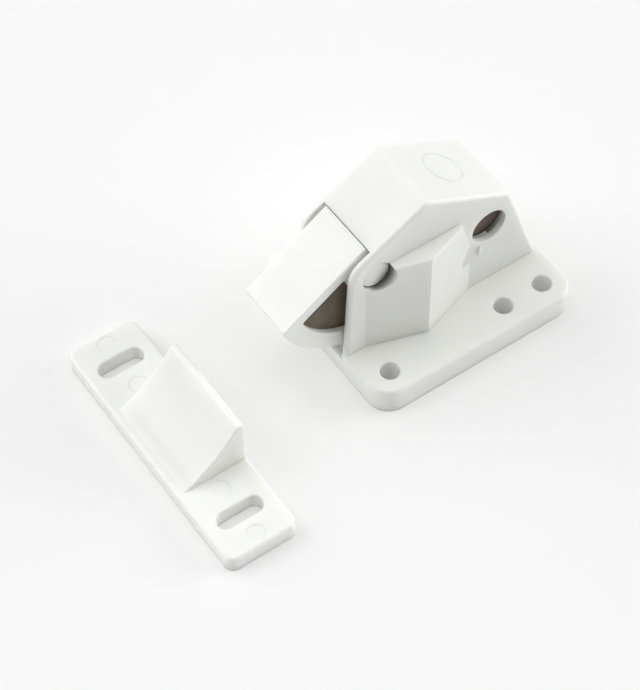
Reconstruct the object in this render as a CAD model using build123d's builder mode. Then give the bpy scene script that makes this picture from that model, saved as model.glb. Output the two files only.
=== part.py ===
"""Magnetic cabinet catch: a spring latch with a magnetic nose, and its strike plate.

Frame: millimetres, +Z up. The origin is the centre of the latch's screw
pattern, on the face that goes against the door. The latch nose points to -X,
the pivot runs along Y, and the strike plate stands beside the nose.
"""
import os
from math import atan2, cos, degrees, hypot, radians, sin

from build123d import *

os.makedirs("parts", exist_ok=True)

# Base plate of the latch
base_length = 50.0
base_width = 44.5
base_thickness = 6.4
base_corner_radius = 5.0
base_edge_radius = 0.7
base_rim = 1.8
base_skin = 2.0

# Screws through the base plate
screw_spacing_x = 39.0
screw_spacing_y = 33.8
middle_screw_x = 9.4
screw_hole_diameter = 4.2
screw_boss_wall = 1.9
screw_mouth_radius = 0.3

# Hood, measured back from the front edge of the base plate
hood_width = 18.3
wall = 2.05
cheek_wall = 1.4
front_eave_in = 1.45
front_eave_height = 31.7
ridge_in = 19.6
ridge_height = 41.9
rear_eave_height = 30.6
rear_slope_run = 8.5
hood_length = 48.9
eave_radius = 5.5
ridge_radius = 2.0
rear_eave_radius = 1.2
hood_edge_radius = 0.9
roof_start_in = 6.6
front_bar_depth = 1.2
front_bar_below_pivot = 23.45
roof_mark_up = 11.5
roof_mark_aside = 0.6
roof_mark_diameter = 9.0
roof_mark_line = 0.25
roof_mark_depth = 0.12

# Pivot, and the window behind it
pivot_in = 7.55
pivot_below_eave = 3.85
pivot_hole_diameter = 6.9
pivot_clearance = 0.08
window_ahead_of_eave = 5.0
window_below_eave = 6.9
window_diameter = 8.4

# Wedge-shaped swelling on each cheek
swell_start_in = 4.9
swell_apex_in = 17.8
swell_end_in = 31.1
swell_depth = 4.3
swell_below_eave = 1.9
swell_wall = 1.8
swell_edge_radius = 0.4
swell_core_start_in = 14.0
swell_cut_top_in = 27.6
swell_cut_foot_in = 30.8
swell_cut_foot_height = 20.8
notch_in = 28.2
notch_mid_in = 29.0
notch_floor_height = 15.0
notch_bend_height = 16.6
nub_in = 33.4
nub_height = 17.8
nub_width = 0.8
nub_length = 2.6
nub_proud = 0.5

# Latch arm
arm_side_gap = 0.9
arm_shoulder_clearance = 0.13
arm_top_gap = 0.2
arm_top_proud = 0.3
arm_plate_thickness = 2.2
arm_edge_radius = 0.4
nose_reach = 20.85
nose_drop = 5.95
nose_radius = 0.6
belly_mid_reach = 14.75
belly_mid_drop = 15.4
belly_heel_reach = 1.7
belly_heel_drop = 20.75
belly_thickness = 4.3
heel_wall = 2.2
hub_roof_clearance = 0.35
pocket_hub_wall = 1.7
pocket_corner_radius = 0.9
trunnion_recess = 0.3
trunnion_edge_radius = 0.8

# Nose magnet
magnet_recess = 1.2
magnet_clearance = 0.06

# Return spring on the arm's core pin
core_pin_share = 0.535
spring_wire = 0.7
spring_inner_clearance = 0.3
spring_turns = 3.25
spring_pitch = 0.85
spring_slot_side_gap = 0.35
spring_leg_end_gap = 0.15

# Rear magnet and the clips that hold it
rear_magnet_diameter = 9.0
rear_magnet_end_gap = 0.85
clip_clearance = 0.05
clip_thickness = 1.5
clip_spread = 8.0
clip_wall = 1.4
clip_mouth_share = 0.86
clip_web_length = 15.0

# Strike plate
strike_x = -62.15
strike_y = -4.3
strike_length = 61.0
strike_width = 16.2
strike_thickness = 4.0
strike_corner_radius = 2.2
strike_edge_radius = 0.6
strike_skin = 2.0
strike_rim = 1.6
slot_spacing = 43.8
slot_length = 10.4
slot_width = 4.0
slot_wall = 1.6
slot_mouth_radius = 0.35
wedge_length = 24.2
wedge_foot_in = 1.6
wedge_height = 15.9
wedge_back_in = 0.2
wedge_ridge_depth = 1.5
wedge_ridge_radius = 0.7
wedge_ramp_sag = 1.15
wedge_wall = 1.8
wedge_edge_radius = 0.3
ejector_mark_diameter = 3.8
ejector_mark_depth = 0.08
ejector_mark_inner = 15.3
ejector_mark_outer = 27.6

# Places worked out from the sizes above
front = -base_length / 2
inner_width = hood_width - 2 * cheek_wall
arm_width = inner_width - 2 * arm_side_gap
rear_eave_in = hood_length - rear_slope_run
pivot_x = front + pivot_in
pivot_height = front_eave_height - pivot_below_eave
window_x = front + rear_eave_in - window_ahead_of_eave
window_height = rear_eave_height - window_below_eave
swell_top = front_eave_height - swell_below_eave
front_bar_height = pivot_height - front_bar_below_pivot
roof_run = ridge_in - front_eave_in
roof_rise = ridge_height - front_eave_height
roof_angle = degrees(atan2(roof_rise, roof_run))
roof_start_height = front_eave_height + roof_rise * (roof_start_in - front_eave_in) / roof_run
nose_x = pivot_x - nose_reach
nose_height = pivot_height - nose_drop
past = 5.0


def turned(start, distance, angle):
    """The point at a distance from start, in a direction given in degrees."""
    return (start[0] + distance * cos(radians(angle)), start[1] + distance * sin(radians(angle)))


# Outline of the hood's side, foot to foot
front_eave = (front + front_eave_in, front_eave_height)
rear_eave = (front + rear_eave_in, rear_eave_height)
with BuildSketch() as hood_side:
    with BuildLine():
        Polyline(
            (front, 0),
            front_eave,
            (front + ridge_in, ridge_height),
            rear_eave,
            (front + hood_length, base_thickness),
            (front + hood_length, 0),
            close=True,
        )
    make_face()
    fillet(hood_side.vertices().sort_by(Axis.Y)[-1], ridge_radius)
    fillet(hood_side.vertices().sort_by_distance(front_eave)[0], eave_radius)
    fillet(hood_side.vertices().sort_by_distance(rear_eave)[0], rear_eave_radius)

# The room inside the hood: the same outline, one wall in, and open at the foot
with BuildSketch() as hood_room:
    add(hood_side.sketch)
    offset(amount=-wall, mode=Mode.REPLACE)
    room_front = front + front_bar_depth
    room_rear = front + hood_length - wall
    with Locations(((room_front + room_rear) / 2, 0)):
        Rectangle(room_rear - room_front, 2 * base_thickness)

# The mouth in front, ahead of the roof's edge, where the arm stands out
roof_edge = (front + roof_start_in, roof_start_height)
with BuildSketch() as mouth:
    with BuildLine():
        Polyline(
            (front - past, front_bar_height),
            (pivot_x, front_bar_height),
            turned(roof_edge, past, roof_angle - 90),
            turned(roof_edge, past, roof_angle + 90),
            (front - past, ridge_height),
            close=True,
        )
    make_face()

# Plan of one swelling outside the cheek, and of the core that keeps its wall even
cheek_y = hood_width / 2
with BuildSketch() as swell_plan:
    with BuildLine():
        Polyline(
            (front + swell_start_in, cheek_y),
            (front + swell_apex_in, cheek_y + swell_depth),
            (front + swell_end_in, cheek_y),
            (front + swell_end_in, cheek_y - wall / 2),
            (front + swell_start_in, cheek_y - wall / 2),
            close=True,
        )
    make_face()

with BuildSketch() as swell_core_plan:
    with BuildLine():
        Polyline(
            (front + swell_start_in, cheek_y),
            (front + swell_apex_in, cheek_y + swell_depth),
            (front + swell_end_in, cheek_y),
            close=True,
        )
    make_face()
    offset(amount=-swell_wall, kind=Kind.INTERSECTION, mode=Mode.REPLACE)

# Side view of what is trimmed off the swelling's rear end
swell_cut_lean = (swell_cut_foot_in - swell_cut_top_in) / (swell_top - swell_cut_foot_height)
with BuildSketch() as swell_trim:
    trim_top = swell_top + past
    trim_top_in = swell_cut_top_in - swell_cut_lean * past
    with BuildLine():
        Polyline(
            (front + swell_end_in + past, notch_floor_height),
            (front + swell_end_in + past, trim_top),
            (front + trim_top_in, trim_top),
            (front + swell_cut_foot_in, swell_cut_foot_height),
        )
        ThreePointArc(
            (front + swell_cut_foot_in, swell_cut_foot_height),
            (front + notch_mid_in, (swell_cut_foot_height + notch_bend_height) / 2),
            (front + notch_in, notch_bend_height),
        )
        Polyline(
            (front + notch_in, notch_bend_height),
            (front + notch_in, notch_floor_height),
            (front + swell_end_in + past, notch_floor_height),
        )
    make_face()

screw_places = [
    (x, y)
    for x in (-screw_spacing_x / 2, middle_screw_x, screw_spacing_x / 2)
    for y in (-screw_spacing_y / 2, screw_spacing_y / 2)
]

# Housing: base plate, hood and swellings moulded in one
with BuildPart() as housing:
    with BuildSketch():
        RectangleRounded(base_length, base_width, base_corner_radius)
    extrude(amount=base_thickness)
    fillet(housing.edges().group_by(Axis.Z)[-1], base_edge_radius)

    # Hollow underside, with a boss round each screw
    with BuildSketch():
        RectangleRounded(
            base_length - 2 * base_rim, base_width - 2 * base_rim, base_corner_radius - base_rim
        )
    extrude(amount=base_thickness - base_skin, mode=Mode.SUBTRACT)
    with BuildSketch():
        with Locations(*screw_places):
            Circle(screw_hole_diameter / 2 + screw_boss_wall)
    extrude(amount=base_thickness - base_skin / 2)

    # Hood with soft edges along its cheeks
    with BuildPart(mode=Mode.PRIVATE) as hood:
        with BuildSketch(Plane.XZ):
            add(hood_side.sketch)
        extrude(amount=hood_width / 2, both=True)
        cheek_rims = hood.faces().filter_by(Axis.Y).edges()
        fillet([e for e in cheek_rims if e.center().Z > base_thickness], hood_edge_radius)
    add(hood.part)

    # Swellings, trimmed behind
    with BuildPart(mode=Mode.PRIVATE) as swelling:
        with BuildSketch():
            add(swell_plan.sketch)
        extrude(amount=swell_top)
        proud_edges = [e for e in swelling.edges() if e.center().Y > cheek_y + swell_edge_radius]
        fillet([e for e in proud_edges if e.center().Z > base_thickness], swell_edge_radius)
        with BuildSketch(Plane.XZ.offset(-cheek_y)):
            add(swell_trim.sketch)
        extrude(amount=-swell_depth - past, mode=Mode.SUBTRACT)
    add(swelling.part)
    add(mirror(swelling.part, about=Plane.XZ))

    # Small catch rib under each window
    with Locations((front + nub_in, 0, nub_height)):
        Box(nub_width, hood_width + 2 * nub_proud, nub_length)

    # Room inside the hood, the mouth and the swellings' cores
    with BuildSketch(Plane.XZ):
        add(hood_room.sketch)
    extrude(amount=inner_width / 2, both=True, mode=Mode.SUBTRACT)
    with BuildSketch(Plane.XZ):
        add(mouth.sketch)
    extrude(amount=inner_width / 2, both=True, mode=Mode.SUBTRACT)
    with BuildPart(mode=Mode.PRIVATE) as swell_core:
        with BuildSketch():
            add(swell_core_plan.sketch)
            with BuildLine():
                Polyline(
                    (front + swell_core_start_in, 0),
                    (front + swell_core_start_in, cheek_y),
                    (front + swell_cut_top_in - swell_wall, cheek_y),
                    (front + swell_cut_top_in - swell_wall, 0),
                    close=True,
                )
            make_face()
        extrude(amount=swell_top - swell_wall)
    add(swell_core.part, mode=Mode.SUBTRACT)
    add(mirror(swell_core.part, about=Plane.XZ), mode=Mode.SUBTRACT)

    # Clips that hold the rear magnet, hung from the roof
    for side in (-1, 1):
        with BuildPart(mode=Mode.PRIVATE) as clip:
            clip_radius = rear_magnet_diameter / 2 + clip_clearance
            with BuildSketch(Plane.XZ.offset(-side * clip_spread / 2)) as clip_side:
                with Locations((window_x, window_height)):
                    Circle(clip_radius + clip_wall)
                with Locations((window_x, window_height)):
                    Rectangle(rear_magnet_diameter, clip_web_length, align=(Align.CENTER, Align.MIN))
                with Locations((window_x, window_height)):
                    Circle(clip_radius, mode=Mode.SUBTRACT)
                with Locations((window_x, window_height)):
                    Rectangle(
                        rear_magnet_diameter * clip_mouth_share,
                        2 * clip_radius,
                        align=(Align.CENTER, Align.MAX),
                        mode=Mode.SUBTRACT,
                    )
            extrude(amount=clip_thickness / 2, both=True)
            with BuildSketch(Plane.XZ) as inside_hood:
                add(hood_side.sketch)
                offset(amount=-wall / 2, mode=Mode.REPLACE)
            extrude(amount=hood_width / 2, both=True, mode=Mode.INTERSECT)
        add(clip.part)

    # Holes through the cheeks and the base plate
    with BuildSketch(Plane.XZ):
        with Locations((pivot_x, pivot_height)):
            Circle(pivot_hole_diameter / 2)
    extrude(amount=base_width / 2, both=True, mode=Mode.SUBTRACT)
    with BuildSketch(Plane.XZ):
        with Locations((window_x, window_height)):
            Circle(window_diameter / 2)
    extrude(amount=base_width / 2, both=True, mode=Mode.SUBTRACT)
    with BuildSketch():
        with Locations(*screw_places):
            Circle(screw_hole_diameter / 2)
    extrude(amount=base_thickness, mode=Mode.SUBTRACT)
    top_circles = (
        housing.edges()
        .filter_by(GeomType.CIRCLE)
        .filter_by_position(Axis.Z, base_thickness - 0.01, base_thickness + 0.01)
    )
    mouths = [e for e in top_circles if abs(2 * e.radius - screw_hole_diameter) < 0.01]
    fillet(mouths, screw_mouth_radius)

    # Plain round mark on the rear slope of the roof
    rear_slope = Plane(
        origin=(front + rear_eave_in, 0, rear_eave_height),
        x_dir=(ridge_in - rear_eave_in, 0, ridge_height - rear_eave_height),
        z_dir=(ridge_height - rear_eave_height, 0, rear_eave_in - ridge_in),
    )
    with BuildSketch(rear_slope):
        with Locations((roof_mark_up, -roof_mark_aside)):
            Circle(roof_mark_diameter / 2)
            Circle(roof_mark_diameter / 2 - roof_mark_line, mode=Mode.SUBTRACT)
    extrude(amount=-roof_mark_depth, mode=Mode.SUBTRACT)
housing.part.label = "housing"
export_step(housing.part, "parts/housing.step")

# Outline of the arm's side: top plate, nose, curved belly and round hub
top_start = turned(turned(roof_edge, arm_top_gap, roof_angle + 180), arm_top_proud, roof_angle + 90)
nose = (nose_x, nose_height)
arm_angle = degrees(atan2(top_start[1] - nose[1], top_start[0] - nose[0]))
plate_inner = turned(top_start, arm_plate_thickness, arm_angle - 90)
pivot = (pivot_x, pivot_height)
plate_over_pivot = (top_start[1] - pivot_height) * cos(radians(arm_angle)) - arm_plate_thickness
plate_over_pivot -= (top_start[0] - pivot_x) * sin(radians(arm_angle))
belly_mid = (pivot_x - belly_mid_reach, pivot_height - belly_mid_drop)
belly_heel = (pivot_x - belly_heel_reach, pivot_height - belly_heel_drop)
heel_angle = degrees(atan2(-belly_heel_drop, -belly_heel_reach))
roof_above_pivot = (roof_start_height - pivot_height) * cos(radians(roof_angle))
roof_above_pivot += (pivot_in - roof_start_in) * sin(radians(roof_angle))
hub_radius = roof_above_pivot - wall - hub_roof_clearance

with BuildSketch() as arm_side:
    with BuildLine():
        Polyline(nose, top_start, plate_inner, pivot, belly_heel)
        belly = ThreePointArc(belly_heel, belly_mid, nose)
    make_face()
    with Locations(pivot):
        Circle(hub_radius)
    fillet(arm_side.vertices().sort_by(Axis.X)[0], nose_radius)

# The magnet's pocket: under the top plate, inside the belly, ahead of the heel and hub
heel_inner = turned(pivot, heel_wall, heel_angle - 90)
with BuildSketch() as pocket_side:
    with Locations(belly.arc_center):
        Circle(belly.radius - belly_thickness)
    with BuildLine():
        Polyline(
            turned(nose, arm_plate_thickness, arm_angle - 90),
            turned(pivot, plate_over_pivot, arm_angle + 90),
            heel_inner,
            turned(heel_inner, 2 * nose_reach, heel_angle),
            (front - nose_reach, -past),
            close=True,
        )
    make_face(mode=Mode.INTERSECT)
    with Locations(pivot):
        Circle(hub_radius + pocket_hub_wall, mode=Mode.SUBTRACT)
    fillet(pocket_side.vertices(), pocket_corner_radius)

slot_radius = hub_radius + hub_roof_clearance
core_pin_radius = core_pin_share * slot_radius
spring_radius = core_pin_radius + spring_inner_clearance + spring_wire / 2
spring_height = spring_turns * spring_pitch
slot_half_width = (spring_height + spring_wire) / 2 + spring_slot_side_gap
trunnion_radius = pivot_hole_diameter / 2 - pivot_clearance
trunnion_end = hood_width / 2 - trunnion_recess

# Arm: one moulding with its trunnions and core pin
with BuildPart() as latch_arm:
    with BuildSketch(Plane.XZ):
        add(arm_side.sketch)
        add(pocket_side.sketch, mode=Mode.SUBTRACT)
    extrude(amount=arm_width / 2, both=True)
    side_rims = [e for f in latch_arm.faces().filter_by(Axis.Y) for e in f.outer_wire().edges()]
    fillet([e for e in side_rims if e.center().X < front], arm_edge_radius)
    with BuildSketch(Plane.XZ):
        with Locations(pivot):
            Circle(hub_radius)
    extrude(amount=inner_width / 2 - arm_shoulder_clearance, both=True)
    with BuildPart(mode=Mode.PRIVATE) as trunnions:
        with BuildSketch(Plane.XZ):
            with Locations(pivot):
                Circle(trunnion_radius)
        extrude(amount=trunnion_end, both=True)
        fillet(trunnions.edges().filter_by(GeomType.CIRCLE), trunnion_edge_radius)
    add(trunnions.part)

    # Room for the spring round the core pin
    with BuildSketch(Plane.XZ):
        with Locations(pivot):
            Circle(slot_radius)
            Circle(core_pin_radius, mode=Mode.SUBTRACT)
    extrude(amount=slot_half_width, both=True, mode=Mode.SUBTRACT)
latch_arm.part.label = "latch_arm"
export_step(latch_arm.part, "parts/latch_arm.step")

# Nose magnet, pressed into the arm's pocket and set back from both sides
with BuildPart() as nose_magnet:
    with BuildSketch(Plane.XZ):
        add(pocket_side.sketch)
        offset(amount=-magnet_clearance, mode=Mode.REPLACE)
    extrude(amount=arm_width / 2 - magnet_recess, both=True)
nose_magnet.part.label = "nose_magnet"
export_step(nose_magnet.part, "parts/nose_magnet.step")

# Return spring: one leg up against the roof, the other against the arm
roof_leg_run = roof_above_pivot - wall - spring_wire / 2 - spring_leg_end_gap
roof_leg_run += spring_radius * sin(radians(roof_angle))
roof_leg_length = roof_leg_run / cos(radians(roof_angle))
arm_leg_length = (slot_radius**2 - spring_radius**2) ** 0.5 - spring_wire / 2 - spring_leg_end_gap
with BuildPart() as return_spring:
    with BuildLine() as spring_path:
        coil = Helix(
            pitch=spring_pitch,
            height=spring_height,
            radius=spring_radius,
            center=(pivot_x, spring_height / 2, pivot_height),
            direction=(0, -1, 0),
        )
        Line((coil @ 0) - (coil % 0) * arm_leg_length, coil @ 0)
        Line(coil @ 1, (coil @ 1) + (coil % 1) * roof_leg_length)
    with BuildSketch(Plane(origin=coil @ 0 - (coil % 0) * arm_leg_length, z_dir=coil % 0)):
        Circle(spring_wire / 2)
    sweep(path=spring_path.wires()[0])
return_spring.part.label = "return_spring"
export_step(return_spring.part, "parts/return_spring.step")

# Rear magnet: a rod across the hood, seen through the windows
with BuildPart() as rear_magnet:
    with BuildSketch(Plane.XZ):
        with Locations((window_x, window_height)):
            Circle(rear_magnet_diameter / 2)
    extrude(amount=inner_width / 2 - rear_magnet_end_gap, both=True)
rear_magnet.part.label = "rear_magnet"
export_step(rear_magnet.part, "parts/rear_magnet.step")

# Side of the strike's wedge: a hollow ramp up to the ridge, and a steep back
strike_front = strike_x - strike_width / 2
strike_back = strike_x + strike_width / 2
wedge_foot = (strike_front + wedge_foot_in, strike_thickness)
wedge_back = strike_back - wedge_back_in
ridge_start = (wedge_back - wedge_ridge_depth, wedge_height)
ramp_run = ridge_start[0] - wedge_foot[0]
ramp_rise = ridge_start[1] - wedge_foot[1]
ramp_angle = degrees(atan2(ramp_rise, ramp_run))
chord_mid = turned(wedge_foot, hypot(ramp_run, ramp_rise) / 2, ramp_angle)
ramp_mid = turned(chord_mid, wedge_ramp_sag, ramp_angle - 90)
with BuildSketch() as wedge_side:
    with BuildLine():
        ThreePointArc(wedge_foot, ramp_mid, ridge_start)
        Polyline(ridge_start, (wedge_back, wedge_height), (wedge_back, 0), (wedge_foot[0], 0), wedge_foot)
    make_face()
    fillet(wedge_side.vertices().group_by(Axis.Y)[-1], wedge_ridge_radius)

slot_places = [(strike_x, strike_y - slot_spacing / 2), (strike_x, strike_y + slot_spacing / 2)]
mark_places = [
    (strike_x, strike_y + side * reach)
    for side in (-1, 1)
    for reach in (ejector_mark_inner, ejector_mark_outer)
]

# Strike plate: slotted base and wedge moulded in one, hollow underneath
with BuildPart() as strike_plate:
    with BuildSketch():
        with Locations((strike_x, strike_y)):
            RectangleRounded(strike_width, strike_length, strike_corner_radius)
    extrude(amount=strike_thickness)
    fillet(strike_plate.edges().group_by(Axis.Z)[-1], strike_edge_radius)
    with BuildSketch():
        with Locations((strike_x, strike_y)):
            RectangleRounded(
                strike_width - 2 * strike_rim,
                strike_length - 2 * strike_rim,
                strike_corner_radius - strike_rim,
            )
    extrude(amount=strike_thickness - strike_skin, mode=Mode.SUBTRACT)
    with BuildSketch():
        with Locations(*slot_places):
            SlotOverall(slot_length + 2 * slot_wall, slot_width + 2 * slot_wall)
    extrude(amount=strike_thickness - strike_skin / 2)
    with BuildPart(mode=Mode.PRIVATE) as wedge:
        with BuildSketch(Plane.XZ.offset(-strike_y)):
            add(wedge_side.sketch)
        extrude(amount=wedge_length / 2, both=True)
        end_rims = wedge.faces().filter_by(Axis.Y).edges()
        fillet([e for e in end_rims if e.center().Z > strike_thickness], wedge_edge_radius)
    add(wedge.part)
    with BuildSketch(Plane.XZ.offset(-strike_y)):
        add(wedge_side.sketch)
        offset(amount=-wedge_wall, kind=Kind.INTERSECTION, mode=Mode.REPLACE)
        with Locations(((wedge_foot[0] + wedge_back) / 2, 0)):
            Rectangle(wedge_back - wedge_foot[0] - 2 * wedge_wall, 2 * wedge_wall + past)
    extrude(amount=wedge_length / 2 - wedge_wall, both=True, mode=Mode.SUBTRACT)
    with BuildSketch():
        with Locations(*slot_places):
            SlotOverall(slot_length, slot_width)
    extrude(amount=strike_thickness, mode=Mode.SUBTRACT)
    top_edges = strike_plate.edges().filter_by_position(
        Axis.Z, strike_thickness - 0.01, strike_thickness + 0.01
    )
    slot_rims = [
        e
        for e in top_edges
        if abs(e.center().X - strike_x) < slot_length / 2
        and abs(abs(e.center().Y - strike_y) - slot_spacing / 2) < slot_width
    ]
    fillet(slot_rims, slot_mouth_radius)
    with BuildSketch(Plane.XY.offset(strike_thickness)):
        with Locations(*mark_places):
            Circle(ejector_mark_diameter / 2)
    extrude(amount=-ejector_mark_depth, mode=Mode.SUBTRACT)
strike_plate.part.label = "strike_plate"
export_step(strike_plate.part, "parts/strike_plate.step")
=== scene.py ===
"""Looks for the magnetic cabinet catch: materials, floor, lights and camera."""
from math import cos, radians, sin

import bpy
from mathutils import Matrix, Vector


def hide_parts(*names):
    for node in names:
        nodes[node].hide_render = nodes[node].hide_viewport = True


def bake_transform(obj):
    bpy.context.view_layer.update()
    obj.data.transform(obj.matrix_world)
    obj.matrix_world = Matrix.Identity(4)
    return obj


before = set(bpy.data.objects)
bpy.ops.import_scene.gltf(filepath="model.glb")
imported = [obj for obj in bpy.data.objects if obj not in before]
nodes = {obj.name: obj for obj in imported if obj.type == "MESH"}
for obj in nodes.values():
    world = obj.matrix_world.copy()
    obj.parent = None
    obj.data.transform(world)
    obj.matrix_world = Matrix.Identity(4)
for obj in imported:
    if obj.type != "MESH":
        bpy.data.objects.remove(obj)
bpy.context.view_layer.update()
scene = bpy.context.scene

MM = 0.001

# Places in the part where its materials paint light or shade, with distances sideways from its middle plane
PIVOT = Vector((-17.45, 0, 27.85)) * MM
BETWEEN_CHEEKS = 7.7 * MM
PIN_END_STARTS = (8.4 * MM, 8.5 * MM)
PIN_END_FADE = (0.2 * MM, 3.3 * MM)
PIN_HOLE_REACH = 3.6 * MM
PIN_HOLE_MOUTH_TO_FLOOR = (11.2 * MM, 8.9 * MM)
PIN_HOLE_FADE = (0.0, 2.4 * MM)
SCREW_HOLE_XS = (-19.5 * MM, 9.4 * MM, 19.5 * MM)
SCREW_HOLE_Y = 16.9 * MM
SCREW_HOLE_REACH = 2.15 * MM

# Painted shade at the pin's ends, standing in for the shade of the deep gap beside them
PIN_END_PAINTED_SHADE = 0.2
# Painted shade on the pin holes' walls beside the pin's ends
PIN_HOLE_PAINTED_SHADE = 0.3
# Painted light on the screw holes' walls, paler than the plastic
SCREW_HOLE_PAINTED_LIGHT = (0.985, 0.985, 0.965)
# Painted shade in creases: how far it reaches and how dark it gets
CREASE_REACH = 1.0 * MM
CREASE_SHADE = 0.72
EDGE_RADIUS = 0.2 * MM


# Shader nodes

def new_node(tree, kind, **settings):
    """A node with its settings made."""
    node = tree.nodes.new(kind)
    for setting, value in settings.items():
        setattr(node, setting, value)
    return node


def feed(tree, value, socket):
    """Joins an output to a socket, or sets the socket to a plain value."""
    if isinstance(value, bpy.types.NodeSocket):
        tree.links.new(value, socket)
    else:
        socket.default_value = value


def new_material(name):
    """An empty node material, with its shader and output joined."""
    material = bpy.data.materials.new(name)
    material.use_nodes = True
    tree = material.node_tree
    tree.nodes.clear()
    shader = new_node(tree, "ShaderNodeBsdfPrincipled")
    output = new_node(tree, "ShaderNodeOutputMaterial")
    feed(tree, shader.outputs["BSDF"], output.inputs["Surface"])
    return material, tree, shader, output


def noise(tree, grain, detail=3.0, roughness=0.55, shift=(0, 0, 0)):
    """Noise whose lumps are about grain metres across, in the piece's own coordinates."""
    place = new_node(tree, "ShaderNodeTexCoord")
    mapping = new_node(tree, "ShaderNodeMapping")
    mapping.inputs["Location"].default_value = shift
    feed(tree, place.outputs["Object"], mapping.inputs["Vector"])
    texture = new_node(tree, "ShaderNodeTexNoise")
    texture.inputs["Scale"].default_value = 1 / grain
    texture.inputs["Detail"].default_value = detail
    texture.inputs["Roughness"].default_value = roughness
    feed(tree, mapping.outputs["Vector"], texture.inputs["Vector"])
    return texture.outputs["Fac"]


def ramp(tree, value, *stops):
    """Colours at places from 0 to 1 along a value."""
    node = new_node(tree, "ShaderNodeValToRGB")
    elements = node.color_ramp.elements
    while len(elements) < len(stops):
        elements.new(0.5)
    for element, (position, colour) in zip(elements, stops):
        element.position = position
        element.color = (*colour, 1)
    feed(tree, value, node.inputs["Fac"])
    return node.outputs["Color"]


def spread(tree, value, low, high):
    """A noise value, which keeps mostly from 0.3 to 0.7, spread to run from low to high."""
    node = new_node(tree, "ShaderNodeMapRange")
    node.inputs["From Min"].default_value = 0.3
    node.inputs["From Max"].default_value = 0.7
    node.inputs["To Min"].default_value = low
    node.inputs["To Max"].default_value = high
    feed(tree, value, node.inputs["Value"])
    return node.outputs["Result"]


def fade(tree, value, start, end):
    """A smooth step from 0 at start to 1 at end."""
    node = new_node(tree, "ShaderNodeMapRange", interpolation_type="SMOOTHSTEP")
    node.inputs["From Min"].default_value = start
    node.inputs["From Max"].default_value = end
    feed(tree, value, node.inputs["Value"])
    return node.outputs["Result"]


def maths(tree, operation, *values):
    """One operation on a value, with a number or another value where it takes two."""
    node = new_node(tree, "ShaderNodeMath", operation=operation)
    for value, socket in zip(values, node.inputs):
        feed(tree, value, socket)
    return node.outputs["Value"]


def diagonal(tree, across, along):
    """The length whose two parts, at right angles, are given."""
    squares = [maths(tree, "MULTIPLY", part, part) for part in (across, along)]
    return maths(tree, "POWER", maths(tree, "ADD", *squares), 0.5)


def mix(tree, blend_type, amount, first, second):
    """A first colour, blended with a second one where amount is 1."""
    node = new_node(tree, "ShaderNodeMix", data_type="RGBA", blend_type=blend_type)
    feed(tree, amount, node.inputs["Factor"])
    feed(tree, first, node.inputs["A"])
    feed(tree, second, node.inputs["B"])
    return node.outputs["Result"]


def painted_crease_shade(tree, colour):
    """A colour with painted shade in narrow corners, found by ambient occlusion."""
    hollow = new_node(tree, "ShaderNodeAmbientOcclusion", samples=8)
    hollow.inputs["Distance"].default_value = CREASE_REACH
    strength = ramp(tree, hollow.outputs["AO"], (0.15, (CREASE_SHADE,) * 3), (0.6, (1, 1, 1)))
    return mix(tree, "MULTIPLY", 1.0, colour, strength)


def bumps(tree, shader, *layers, edge=0.0):
    """Bump layers of (height value, depth in metres), over edges softened by a radius."""
    normal = None
    if edge:
        soften = new_node(tree, "ShaderNodeBevel", samples=6)
        soften.inputs["Radius"].default_value = edge
        normal = soften.outputs["Normal"]
    for value, depth in layers:
        bump = new_node(tree, "ShaderNodeBump")
        bump.inputs["Distance"].default_value = depth
        feed(tree, value, bump.inputs["Height"])
        if normal:
            feed(tree, normal, bump.inputs["Normal"])
        normal = bump.outputs["Normal"]
    feed(tree, normal, shader.inputs["Normal"])


# Parts of the mouldings that carry painted light or shade, or keep painted shade off: each gives 1 there and 0
# elsewhere

def place_in_part(tree):
    """A point's X, its distance sideways from the middle plane, and its Z."""
    place = new_node(tree, "ShaderNodeTexCoord")
    parts = new_node(tree, "ShaderNodeSeparateXYZ")
    feed(tree, place.outputs["Object"], parts.inputs["Vector"])
    return parts.outputs["X"], maths(tree, "ABSOLUTE", parts.outputs["Y"]), parts.outputs["Z"]


def from_pivot(tree, x, z):
    """How far a point lies from the pivot: towards the low rear, and out from the axis."""
    rearwards = maths(tree, "SUBTRACT", x, PIVOT.x)
    upwards = maths(tree, "SUBTRACT", z, PIVOT.z)
    lean = maths(tree, "MULTIPLY", maths(tree, "SUBTRACT", rearwards, upwards), cos(radians(45)))
    return lean, diagonal(tree, rearwards, upwards)


def between_cheeks(tree):
    """All that lies between the cheeks, where no painted crease shade goes."""
    sideways = place_in_part(tree)[1]
    return maths(tree, "LESS_THAN", sideways, BETWEEN_CHEEKS)


def pin_end_painted_shade(tree):
    """Where painted shade darkens the low rear edge of each of the pin's ends."""
    x, sideways, z = place_in_part(tree)
    lean = from_pivot(tree, x, z)[0]
    return maths(tree, "MULTIPLY", fade(tree, lean, *PIN_END_FADE), fade(tree, sideways, *PIN_END_STARTS))


def pin_hole_painted_shade(tree):
    """Where painted shade darkens the low rear wall of each of the pin's holes, near the pin's end."""
    x, sideways, z = place_in_part(tree)
    lean, outwards = from_pivot(tree, x, z)
    deep = fade(tree, sideways, *PIN_HOLE_MOUTH_TO_FLOOR)
    on_wall = maths(tree, "LESS_THAN", outwards, PIN_HOLE_REACH)
    return maths(tree, "MULTIPLY", maths(tree, "MULTIPLY", deep, on_wall), fade(tree, lean, *PIN_HOLE_FADE))


def screw_holes(tree):
    """The walls of the housing's screw holes, where light is painted in."""
    x, sideways, z = place_in_part(tree)
    along = maths(tree, "SUBTRACT", sideways, SCREW_HOLE_Y)
    distances = [diagonal(tree, maths(tree, "SUBTRACT", x, hole_x), along) for hole_x in SCREW_HOLE_XS]
    nearest = distances[0]
    for distance in distances[1:]:
        nearest = maths(tree, "MINIMUM", nearest, distance)
    return maths(tree, "LESS_THAN", nearest, SCREW_HOLE_REACH)


# Materials

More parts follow.
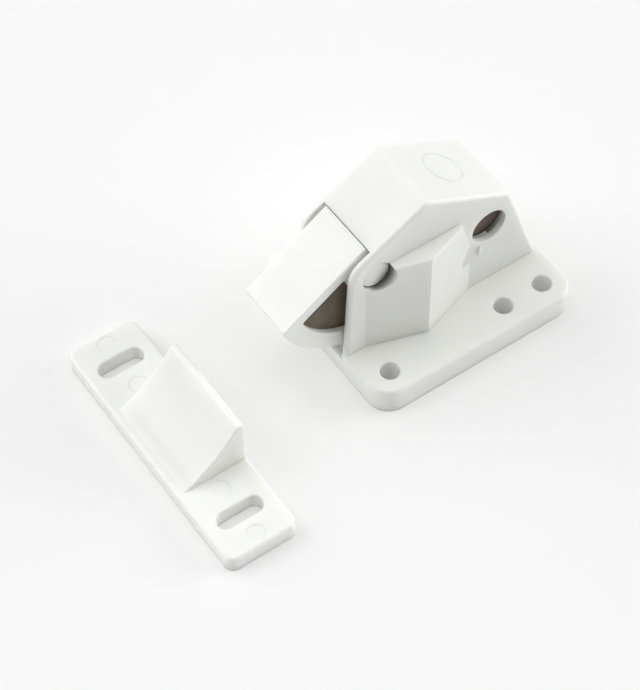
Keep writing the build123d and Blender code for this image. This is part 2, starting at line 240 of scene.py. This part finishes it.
def moulded_plastic(name, light, dark, shift, crease_shade_free=None, patches=()):
    """White moulded plastic: faint flow clouds, a fine satin grain and soft edges.

    Painted shade darkens its creases, apart from where the given mask keeps it off. Each patch is a blend type, a
    part of the moulding and the colour blended in there, as painted light or painted shade.
    """
    material, tree, shader, _ = new_material(name)
    clouds = noise(tree, 14 * MM, detail=2.5, shift=shift)
    grain = noise(tree, 0.35 * MM, detail=2.0, shift=shift)
    waves = noise(tree, 5 * MM, detail=1.5, shift=shift)
    plain = ramp(tree, clouds, (0.35, dark), (0.65, light))
    # Painted shade in the creases
    colour = painted_crease_shade(tree, plain)
    if crease_shade_free:
        colour = mix(tree, "MIX", crease_shade_free(tree), colour, plain)
    for blend_type, part, patch_colour in patches:
        colour = mix(tree, blend_type, part(tree), colour, (*patch_colour, 1))
    feed(tree, colour, shader.inputs["Base Color"])
    feed(tree, spread(tree, waves, 0.34, 0.44), shader.inputs["Roughness"])
    shader.inputs["IOR"].default_value = 1.49
    shader.inputs["Subsurface Weight"].default_value = 0.5
    shader.inputs["Subsurface Radius"].default_value = (1.0, 1.0, 0.9)
    shader.inputs["Subsurface Scale"].default_value = 2.5 * MM
    bumps(tree, shader, (waves, 0.03 * MM), (grain, 0.006 * MM), edge=EDGE_RADIUS)
    return material


def sintered_ferrite(name, shift):
    """Dull brown-black magnet: pressed grains, and paler clouds of dust."""
    material, tree, shader, _ = new_material(name)
    clouds = noise(tree, 5 * MM, detail=4.0, shift=shift)
    grains = noise(tree, 0.25 * MM, detail=4.0, roughness=0.7, shift=shift)
    colour = ramp(
        tree,
        clouds,
        (0.32, (0.146, 0.114, 0.083)),
        (0.55, (0.168, 0.135, 0.100)),
        (0.7, (0.194, 0.158, 0.120)),
    )
    feed(tree, colour, shader.inputs["Base Color"])
    feed(tree, spread(tree, grains, 0.62, 0.8), shader.inputs["Roughness"])
    bumps(tree, shader, (clouds, 0.03 * MM), (grains, 0.02 * MM))
    return material


def spring_wire(name):
    """Drawn steel wire: bright, with fine scuffs."""
    material, tree, shader, _ = new_material(name)
    scuffs = noise(tree, 0.2 * MM, detail=4.0, roughness=0.7)
    colour = ramp(tree, scuffs, (0.3, (0.42, 0.42, 0.41)), (0.7, (0.62, 0.62, 0.60)))
    feed(tree, colour, shader.inputs["Base Color"])
    shader.inputs["Metallic"].default_value = 1.0
    feed(tree, spread(tree, scuffs, 0.25, 0.4), shader.inputs["Roughness"])
    bumps(tree, shader, (scuffs, 0.005 * MM))
    return material


def dress(node, material):
    """Puts a material on all of a CAD node."""
    piece = nodes[node]
    piece.data.materials.clear()
    piece.data.materials.append(material)


housing_plastic = moulded_plastic(
    "housing_plastic",
    light=(0.878, 0.888, 0.842),
    dark=(0.862, 0.872, 0.825),
    shift=(0, 0, 0),
    # No painted crease shade between the cheeks
    crease_shade_free=between_cheeks,
    patches=(
        # Painted light on the screw holes' walls, paler than the plastic
        ("MIX", screw_holes, SCREW_HOLE_PAINTED_LIGHT),
        # Painted shade on the pin holes' walls beside the pin's ends
        ("MULTIPLY", pin_hole_painted_shade, (PIN_HOLE_PAINTED_SHADE,) * 3),
    ),
)
arm_plastic = moulded_plastic(
    "arm_plastic",
    light=(0.912, 0.921, 0.872),
    dark=(0.898, 0.907, 0.857),
    shift=(0.3, 0, 0),
    # No painted crease shade between the cheeks
    crease_shade_free=between_cheeks,
    # Painted shade at the low rear edge of the pin's ends
    patches=(("MULTIPLY", pin_end_painted_shade, (PIN_END_PAINTED_SHADE,) * 3),),
)
strike_plastic = moulded_plastic(
    "strike_plastic",
    light=(0.884, 0.893, 0.848),
    dark=(0.868, 0.877, 0.831),
    shift=(0, 0.3, 0),
)
dress("housing", housing_plastic)
dress("latch_arm", arm_plastic)
dress("strike_plate", strike_plastic)
dress("nose_magnet", sintered_ferrite("nose_ferrite", shift=(0, 0, 0)))
dress("rear_magnet", sintered_ferrite("rear_ferrite", shift=(0.2, 0, 0)))
dress("return_spring", spring_wire("spring_wire"))


# Return spring: a copy of its mesh, with its place baked in, drawn in place of the hidden CAD node

wound_spring = bpy.data.objects.new("wound_spring", nodes["return_spring"].data.copy())
scene.collection.objects.link(wound_spring)
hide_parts("return_spring")
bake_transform(wound_spring)


# Floor

FLOOR_HALF = 3.0
FLOOR_COLOUR = (0.92, 0.92, 0.92)
FLOOR_GLOW = 0.82
FLOOR_GLOW_SHARE = 0.25

floor_corners = [(x * FLOOR_HALF, y * FLOOR_HALF, 0) for x, y in ((-1, -1), (1, -1), (1, 1), (-1, 1))]
floor_mesh = bpy.data.meshes.new("floor")
floor_mesh.from_pydata(floor_corners, [], [(0, 1, 2, 3)])
floor = bpy.data.objects.new("floor", floor_mesh)
scene.collection.objects.link(floor)
floor_material, floor_tree, floor_shader, floor_output = new_material("floor_paper")
floor_shader.inputs["Base Color"].default_value = (*FLOOR_COLOUR, 1)
floor_shader.inputs["Roughness"].default_value = 0.9
floor_shader.inputs["Specular IOR Level"].default_value = 0.0

# Part of the floor's paleness is a glow that only the camera, reflections and transmission see
glow = new_node(floor_tree, "ShaderNodeEmission")
glow.inputs["Strength"].default_value = FLOOR_GLOW
rays = new_node(floor_tree, "ShaderNodeLightPath")
seen = rays.outputs["Is Camera Ray"]
for kind in ("Is Glossy Ray", "Is Transmission Ray"):
    seen = maths(floor_tree, "MAXIMUM", seen, rays.outputs[kind])
blend = new_node(floor_tree, "ShaderNodeMixShader")
feed(floor_tree, maths(floor_tree, "MULTIPLY", seen, FLOOR_GLOW_SHARE), blend.inputs["Fac"])
feed(floor_tree, floor_shader.outputs["BSDF"], blend.inputs[1])
feed(floor_tree, glow.outputs["Emission"], blend.inputs[2])
feed(floor_tree, blend.outputs["Shader"], floor_output.inputs["Surface"])
floor_mesh.materials.append(floor_material)


# Lights

WORLD_STRENGTH = 0.03


def sun(name, azimuth, elevation, strength, spread_degrees):
    """A far, wide lamp: azimuth is counted from +X towards +Y."""
    lamp = bpy.data.lights.new(name, "SUN")
    lamp.energy = strength
    lamp.angle = radians(spread_degrees)
    level = cos(radians(elevation))
    towards = Vector((level * cos(radians(azimuth)), level * sin(radians(azimuth)), sin(radians(elevation))))
    holder = bpy.data.objects.new(name, lamp)
    holder.rotation_euler = towards.to_track_quat("Z", "Y").to_euler()
    scene.collection.objects.link(holder)


sun("top_light", 90, 80, 1.81, 90)
sun("high_left_light", 180, 48, 0.25, 60)
sun("high_right_light", -45, 40, 0.18, 60)
sun("low_right_light", -22, 15, 1.83, 40)
sun("low_left_light", 170, 15, 0.12, 40)
sun("back_left_light", 135, 30, 1.06, 50)
sun("low_back_light", 100, 15, 0.49, 40)

world = bpy.data.worlds.new("studio")
world.use_nodes = True
world.node_tree.nodes["Background"].inputs["Color"].default_value = (1, 1, 1, 1)
world.node_tree.nodes["Background"].inputs["Strength"].default_value = WORLD_STRENGTH
scene.world = world


# Camera: the fitted viewpoint of the photograph

AZIMUTH = radians(-34.503)
ELEVATION = radians(53.849)
ROLL = radians(-0.408)
TARGET = Vector((-24.745, 0.326, 0)) * MM
DISTANCE = 456.752 * MM
SENSOR_WIDTH_MM = 36.0
LENS_MM = 123.75
NEAREST = 0.01

back = Vector((sin(AZIMUTH) * cos(ELEVATION), -cos(AZIMUTH) * cos(ELEVATION), sin(ELEVATION)))
level_right = Vector((cos(AZIMUTH), sin(AZIMUTH), 0))
level_up = back.cross(level_right)
right = level_right * cos(ROLL) + level_up * sin(ROLL)
up = level_up * cos(ROLL) - level_right * sin(ROLL)
eye = TARGET + back * DISTANCE

camera_data = bpy.data.cameras.new("camera")
camera_data.sensor_fit = "HORIZONTAL"
camera_data.sensor_width = SENSOR_WIDTH_MM
camera_data.lens = LENS_MM
camera_data.clip_start = NEAREST
camera = bpy.data.objects.new("camera", camera_data)
camera.matrix_world = Matrix(
    (
        (right.x, up.x, back.x, eye.x),
        (right.y, up.y, back.y, eye.y),
        (right.z, up.z, back.z, eye.z),
        (0, 0, 0, 1),
    )
)
scene.collection.objects.link(camera)
scene.camera = camera

scene.view_settings.view_transform = "Standard"
